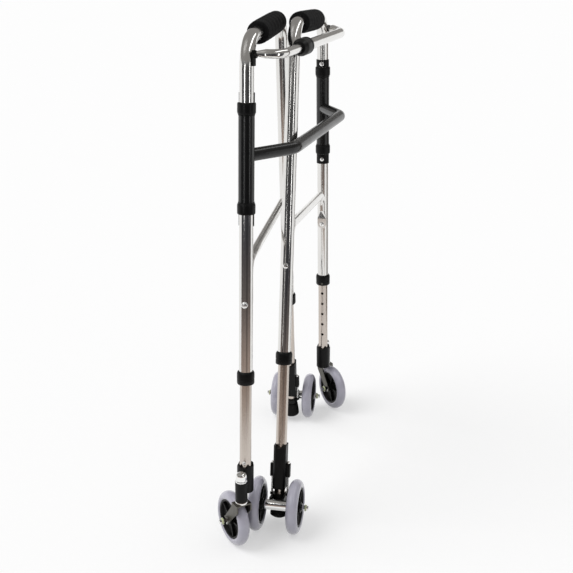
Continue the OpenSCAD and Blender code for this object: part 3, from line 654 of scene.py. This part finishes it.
# %% Caster caps and rings
CAP_RADIUS = 9.8
CAP_SHOULDER = 154.2
CAP_DOME = 5.7
CAP = [(0, 142), (10.8, 142), (10.8, 144.2), (10.1, 145.2), (CAP_RADIUS, 145.4),
       (CAP_RADIUS, CAP_SHOULDER)]
for degrees in range(15, 90, 15):
    CAP.append((CAP_RADIUS * cos(radians(degrees)),
                CAP_SHOULDER + CAP_DOME * sin(radians(degrees))))
CAP.append((0, CAP_SHOULDER + CAP_DOME))
BEARING = [(10.05, 99.7), (10.9, 99.7), (11.3, 100.4), (11.3, 102.9), (10.9, 103.6),
           (10.05, 103.6), (10.05, 99.7)]
for side in SIDES:
    cap = stand(turned(side + "_acorn_cap", CAP, 12), SWIVEL[side])
    smooth(cap, 20)
    ready(cap, bright, side + "_front_leg_extension", "bright_steel", side + "_caster_cap")
    bearing = stand(turned(side + "_bearing_ring", BEARING, 48), SWIVEL[side])
    ready(bearing, bright, side + "_caster_swivel", "bright_steel")
print("caps and rings", len(cap.data.polygons), "and", len(bearing.data.polygons), "faces")

# %% [markdown]
# The collars on the legs are moulded, with rounded mouths and a groove where the nose meets the
# skirt. They are turned, and a Boolean bores the hole in which the lock pin slides, because the
# hole runs across the lathe's axis. The sleeves' collars are turned in the same way, with no hole.

# %% Collars
TUBE_END = {"front": 323, "rear": 347}
LOCK_PIN = {"front": 318.5, "rear": 342}
PIN_BORE = 2.6
SLEEVE_LOW, SLEEVE_HIGH = 616, 801
LEG_COLLAR = [(10.5, -10), (13.4, -10), (14.8, -9.3), (15.4, -8), (15.4, -1.4), (14.8, -0.8),
              (14.8, 0.2), (15.5, 0.9), (15.5, 9.5), (15.0, 11.4), (13.9, 13.0), (12.8, 14),
              (12.05, 14), (12.05, 0), (10.5, 0), (10.5, -10)]
SLEEVE_COLLAR = [(12.1, 0), (13.2, 0), (14.7, 0.6), (15.4, 1.8), (15.5, 4), (15.5, 15.5),
                 (15.1, 17.6), (14.2, 18.6), (14.2, 19.6), (13.9, 21), (13.55, 21), (13.55, 2),
                 (12.1, 2), (12.1, 0)]


def bored(obj, radius, height, face):
    """Bores a hole across one wall of a collar, on the face that is 1 or -1."""
    deselect()
    bpy.ops.mesh.primitive_cylinder_add(
        vertices=32, radius=radius * MM, depth=20 * MM, rotation=(0, pi / 2, 0),
        location=(face * 13 * MM, 0, height * MM))
    drill = bpy.context.object
    only(obj)
    hole = obj.modifiers.new("hole", "BOOLEAN")
    hole.operation = "DIFFERENCE"
    hole.object = drill
    hole.solver = "EXACT"
    bpy.ops.object.modifier_apply(modifier="hole")
    only(drill)
    bpy.ops.object.delete()
    return obj


for side in SIDES:
    for name, leg, face in (("front", LEG[side], 1), ("rear", REAR_LEG[side], -1)):
        collar = turned(side + "_" + name + "_leg_collar", LEG_COLLAR)
        bored(collar, PIN_BORE, LOCK_PIN[name] - TUBE_END[name], face)
        smooth(collar)
        stand(collar, leg @ moved(z=TUBE_END[name]))
        ready(collar, plastic, side + "_side_frame", "black_plastic", side + "_leg_collars")
    for name, local in (("lower", moved(z=SLEEVE_LOW)),
                        ("upper", moved(z=SLEEVE_HIGH) @ rotated(pi, "X"))):
        collar = turned(side + "_" + name + "_sleeve_collar", SLEEVE_COLLAR)
        stand(collar, LEG[side] @ local)
        ready(collar, plastic, "front_link", "black_plastic", "sleeve_collars")
print("collars", len(collar.data.polygons), "faces on the last")

# %% [markdown]
# The rubber tips of the rear legs are domed below, so that they meet the floor at any lean, and
# ribbed round the side. The dome's points lie on a circle, and a loop repeats the ribs, which get
# narrower towards the top.

# %% Brake tips
TIP_CLEAR = 10
TIP_BALL = 24
TIP_RADIUS = 17
TIP_FLOOR = 9
TIP_RIBS = 6
TIP_UP = up_rear_leg(TIP_CLEAR + TIP_BALL) - TIP_BALL
TIP = [((TIP_BALL ** 2 - (TIP_BALL - z) ** 2) ** 0.5, z) for z in (0, 0.3, 1, 2, 3.4, 5)]
TIP += [(16.6, 6.4), (TIP_RADIUS, 7.6)]
for count in range(TIP_RIBS):
    low = TIP_FLOOR + 4 * count
    wide = TIP_RADIUS - 0.11 * (low - TIP_FLOOR)
    TIP += [(wide, low), (wide - 0.1, low + 2.2), (wide - 1.0, low + 2.7),
            (wide - 1.0, low + 3.5)]
TIP += [(14.2, 33.4), (13.4, 34.6), (12.6, 35), (10.45, 35), (10.45, TIP_FLOOR), (0, TIP_FLOOR)]
for side in SIDES:
    foot = stand(turned(side + "_ribbed_tip", TIP), REAR_LEG[side] @ moved(z=TIP_UP))
    ready(foot, rubber, side + "_rear_leg_extension", "black_rubber", side + "_brake_tip")
print("brake tips", len(foot.data.polygons), "faces each")

# %% [markdown]
# The ferrule that joins the two halves of the upper crossbar is a plastic sleeve with grooves at
# its wide end and a taper at its narrow end. It is turned, and laid along the bar from the low X
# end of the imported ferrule's box.

# %% Ferrule
FERRULE = [(9.55, 0), (13.4, 0), (14.7, 0.8), (15, 2.2), (15, 5), (14.2, 5.5), (14.2, 7),
           (15, 7.5), (15, 9.5), (14.2, 10), (14.2, 11.5), (15, 12), (15, 36), (14.6, 38),
           (11.6, 45.5), (10.8, 47.4), (9.8, 48), (7.55, 48), (7.55, 24.5), (9.55, 24.5),
           (9.55, 0)]
low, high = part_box("bar_ferrule")
ferrule = turned("grooved_ferrule", FERRULE)
put(ferrule, (low[0], (low[1] + high[1]) / 2, (low[2] + high[2]) / 2), (1, 0, 0))
ready(ferrule, plastic, "front_link", "black_plastic", "bar_ferrule")
print("ferrule", len(ferrule.data.polygons), "faces")

# %% [markdown]
# The rivets through the braces have domed heads, which catch the light, and a small snap button
# stands out of each leg extension above its socket or brake tower. All are turned domes that lie
# on the face of a tube or of a brace's tongue, so one outline serves for all of them, each at its
# own radius and height.

# %% Rivet heads and snap buttons
TUBE_FACE, TONGUE_FACE, EXTENSION_FACE = -12, -15.2, -10.3
FRONT_RIVET, REAR_RIVET = 460, 522
FRONT_SNAP, REAR_SNAP = 164, AXLE_UP + 114
SNAP_RADIUS, SNAP_HEIGHT = 3.4, 2.4
RIVET_RADIUS = 5.8


def dome_outline(radius, height):
    curve = [(radius * cos(radians(a)), height * sin(radians(a))) for a in range(0, 90, 10)]
    return [(0, -0.6), (radius, -0.6)] + curve + [(0, height)]


for side in SIDES:
    front, rear = LEG[side], REAR_LEG[side]
    spots = [("front_rivet_head", front @ moved(TUBE_FACE, 0, FRONT_RIVET),
              RIVET_RADIUS, 3.4, "side_frame"),
             ("rear_rivet_head", rear @ moved(TONGUE_FACE, 0, REAR_RIVET),
              RIVET_RADIUS, 2.8, "side_frame"),
             ("front_snap_button", front @ moved(EXTENSION_FACE, 0, FRONT_SNAP),
              SNAP_RADIUS, SNAP_HEIGHT, "front_leg_extension"),
             ("rear_snap_button", rear @ moved(EXTENSION_FACE, 0, REAR_SNAP),
              SNAP_RADIUS, SNAP_HEIGHT, "rear_leg_extension")]
    for name, local, radius, height, body in spots:
        head = turned(side + "_" + name, dome_outline(radius, height), 32)
        stand(head, local @ rotated(-pi / 2, "Y"))
        ready(head, rivet, side + "_" + body, "bright_steel")
print("heads and buttons", len(SIDES) * len(spots))

# %% [markdown]
# The flattened ends of the braces and of the crossbar are lofted from round to flat, and plain
# smooth shading leaves dark patches on their long thin faces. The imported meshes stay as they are,
# so a Weighted Normal modifier lets the large faces lead instead.

# %% Even shading on the flattened ends
FLATTENED = ("right_brace", "left_brace", "upper_bar", "upper_bar_arm")
for name in FLATTENED:
    even = nodes[name].modifiers.new("even shading", "WEIGHTED_NORMAL")
    even.keep_sharp = True
print("shading evened on", len(FLATTENED))

# %% [markdown]
# The studio is a white floor under a white sky. Camera, glossy and transmission rays see the sky
# at full white, so that the ground of the view is white and the metal shows it, while the light
# that it casts stays soft and even. Brighter lamps would whiten the ground too, but they would
# bleach the walker with it.

# %% Sky
SKY_LIGHT = 0.62
SKY_SEEN = 1.0
bpy.context.scene.view_settings.view_transform = "Standard"
world = bpy.data.worlds.new("studio")
bpy.context.scene.world = world
world.use_nodes = True
sky = world.node_tree
sky.nodes.clear()


def math_node(tree, operation, first, second):
    """A Math node on a socket and on a second socket or a plain number."""
    node = tree.nodes.new("ShaderNodeMath")
    node.operation = operation
    tree.links.new(first, node.inputs[0])
    if isinstance(second, float):
        node.inputs[1].default_value = second
    else:
        tree.links.new(second, node.inputs[1])
    return node.outputs[0]


def background(strength):
    node = sky.nodes.new("ShaderNodeBackground")
    node.inputs["Color"].default_value = (1, 1, 1, 1)
    node.inputs["Strength"].default_value = strength
    return node.outputs[0]


rays = sky.nodes.new("ShaderNodeLightPath").outputs
seen = math_node(sky, "MAXIMUM", rays["Is Camera Ray"], rays["Is Glossy Ray"])
seen = math_node(sky, "MAXIMUM", seen, rays["Is Transmission Ray"])
mixed = sky.nodes.new("ShaderNodeMixShader")
out = sky.nodes.new("ShaderNodeOutputWorld")
sky.links.new(seen, mixed.inputs[0])
sky.links.new(background(SKY_LIGHT), mixed.inputs[1])
sky.links.new(background(SKY_SEEN), mixed.inputs[2])
sky.links.new(mixed.outputs[0], out.inputs["Surface"])
print("sky", world.name)

# %% [markdown]
# The floor sends back about half of the light, so the undersides of the walker stay dark enough.
# A floor of that grey would look dull beside the sky, so it also glows a little for camera and
# glossy rays, and it keeps the walker's shadow.

# %% Floor
FLOOR_SIZE = 80
FLOOR_COLOR = (0.55, 0.55, 0.55)
FLOOR_LIFT = 0.45
floor_material, tree, shader = finish("studio floor", FLOOR_COLOR, 0.9,
                                      Specular_IOR_Level=0.0)
rays = tree.nodes.new("ShaderNodeLightPath").outputs
watched = math_node(tree, "MAXIMUM", rays["Is Camera Ray"], rays["Is Glossy Ray"])
lift = math_node(tree, "MULTIPLY", watched, FLOOR_LIFT)
shader.inputs["Emission Color"].default_value = (1, 1, 1, 1)
tree.links.new(lift, shader.inputs["Emission Strength"])
deselect()
bpy.ops.mesh.primitive_plane_add(size=FLOOR_SIZE)
floor = bpy.context.object
floor.name = "studio_floor"
dress(floor, floor_material)
print("floor", FLOOR_SIZE, "m wide")

# %% [markdown]
# One broad sun shines from the left of the view, and a little from behind the camera. It gives
# every piece one soft shadow, which falls to the right. An area lamp would fade along the
# walker's height, and a sun doesn't.

# %% Sun
SUN_STRENGTH = 1.35
SUN_WIDTH = radians(38)
SUN_DIRECTION = Vector((-0.35, 0.62, -1.0))
sun = bpy.data.lights.new("soft_sun", "SUN")
sun.energy = SUN_STRENGTH
sun.angle = SUN_WIDTH
sun_lamp = bpy.data.objects.new("soft_sun", sun)
bpy.context.scene.collection.objects.link(sun_lamp)
sun_lamp.rotation_euler = SUN_DIRECTION.to_track_quat("-Z", "Y").to_euler()
print("sun", SUN_STRENGTH)

# %% [markdown]
# Polished tube needs something dark to reflect, or it looks like white plastic. A curved screen
# stands between the walker and the camera, where only reflections see it: charcoal with faint
# vertical streaks above, warm brown near the floor. It only glows, and it casts no light or
# shadow. The colour runs up it in a ramp, which stretched noise breaks into streaks.

# %% Finish of the screen
SCREEN_HEIGHT = 1.1


def glowing(name, color, strength):
    material, _, shader = finish(name, (0, 0, 0), 1.0, Specular_IOR_Level=0.0)
    shader.inputs["Emission Color"].default_value = (*color, 1)
    shader.inputs["Emission Strength"].default_value = strength
    return material


def only_reflected(obj, material):
    dress(obj, material)
    obj.visible_camera = False
    obj.visible_diffuse = False
    obj.visible_shadow = False
    obj.visible_transmission = False


screen_material = glowing("reflected screen", (0.1, 0.1, 0.1), 1.0)
tree = screen_material.node_tree
shader = tree.nodes["Principled BSDF"]
place = tree.nodes.new("ShaderNodeTexCoord")
parts = tree.nodes.new("ShaderNodeSeparateXYZ")
tree.links.new(place.outputs["Object"], parts.inputs[0])
level = spread(tree, parts.outputs["Z"], 0.0, 1.0, 0.0, SCREEN_HEIGHT)
shade = tint(tree, level, [(0.0, (0.36, 0.30, 0.26)), (0.12, (0.27, 0.21, 0.18)),
                           (0.27, (0.10, 0.085, 0.08)), (0.42, (0.035, 0.035, 0.04)),
                           (0.85, (0.07, 0.07, 0.07)), (1.0, (0.25, 0.25, 0.25))])
streaks = spread(tree, noise(tree, 9, 3, stretch=(1, 1, 0.04)), 0.45, 1.9)
product = tree.nodes.new("ShaderNodeVectorMath")
product.operation = "SCALE"
tree.links.new(shade, product.inputs[0])
tree.links.new(streaks, product.inputs["Scale"])
tree.links.new(product.outputs[0], shader.inputs["Emission Color"])
print("screen finish", screen_material.name)

# %% [markdown]
# The screen is part of a wall round the walker. One vertex is extruded upwards to an edge, and the
# spin operator sweeps the edge through the arc that faces the camera.

# %% Curved screen
SCREEN_CENTRE = Vector((0.30, 0.0, 0.0))
SCREEN_RADIUS = 0.62
SCREEN_ARC = radians(165)
away = Vector(CAMERA_PLACE) - SCREEN_CENTRE
towards_camera = atan2(away.y, away.x)
start = towards_camera + SCREEN_ARC / 2

deselect()
bpy.ops.mesh.primitive_plane_add(size=MM)
screen = bpy.context.object
screen.name = "reflected_screen"
bpy.ops.object.mode_set(mode="EDIT")
bpy.ops.mesh.select_all(action="SELECT")
bpy.ops.mesh.merge(type="CENTER")
bpy.ops.transform.translate(value=(SCREEN_RADIUS * cos(start), SCREEN_RADIUS * sin(start), 0))
bpy.ops.mesh.extrude_region_move(TRANSFORM_OT_translate={"value": (0, 0, SCREEN_HEIGHT)})
bpy.ops.mesh.select_all(action="SELECT")
bpy.ops.mesh.spin(steps=60, angle=SCREEN_ARC, center=(0, 0, 0), axis=(0, 0, 1))
bpy.ops.mesh.select_all(action="SELECT")
bpy.ops.transform.translate(value=SCREEN_CENTRE)
bpy.ops.object.mode_set(mode="OBJECT")
only_reflected(screen, screen_material)
print("screen", len(screen.data.polygons), "faces")

# %% [markdown]
# Two narrow strips in front of the screen draw the long white lines along the tubes and sleeves. A
# dark ceiling with one long lamp does the same for the bars and handles, which look upwards, and a
# dark card beyond the walker gives its far tubes something to show. All are flat cards, so one
# helper makes them.

# %% Strips, ceiling and side card
STRIP_RADIUS = 0.57
STRIP_HEIGHT = 0.46
STRIP_MIDDLE = 0.76
UPRIGHT = radians(90)


def card(name, material, place, size, turn=(0, 0, 0)):
    deselect()
    bpy.ops.mesh.primitive_plane_add(size=1, location=place)
    obj = bpy.context.object
    obj.name = name
    obj.scale = (*size, 1)
    obj.rotation_euler = turn
    only_reflected(obj, material)


strip_material = glowing("reflected strip", (1, 1, 1), 3.6)
for name, turn_from_camera, width in (("left_strip", -34, 0.10), ("right_strip", 51, 0.06)):
    angle = towards_camera + radians(turn_from_camera)
    place = SCREEN_CENTRE + Vector((STRIP_RADIUS * cos(angle), STRIP_RADIUS * sin(angle),
                                    STRIP_MIDDLE))
    card(name, strip_material, place, (width, STRIP_HEIGHT), (UPRIGHT, 0, angle + UPRIGHT))

ceiling_material = glowing("reflected ceiling", (0.27, 0.26, 0.25), 1.0)
lamp_material = glowing("reflected lamp", (1, 1, 1), 3.0)
side_material = glowing("reflected side card", (0.13, 0.11, 0.10), 1.0)
card("dark_ceiling", ceiling_material, (-1.0, 0, 1.60), (9, 9))
card("ceiling_lamp", lamp_material, (-0.2, 0.5, 1.55), (1.6, 0.16))
card("side_card", side_material, (-0.55, 0.50, 0.55), (0.42, 1.1), (UPRIGHT, 0, 0))
print("strips and cards ready")
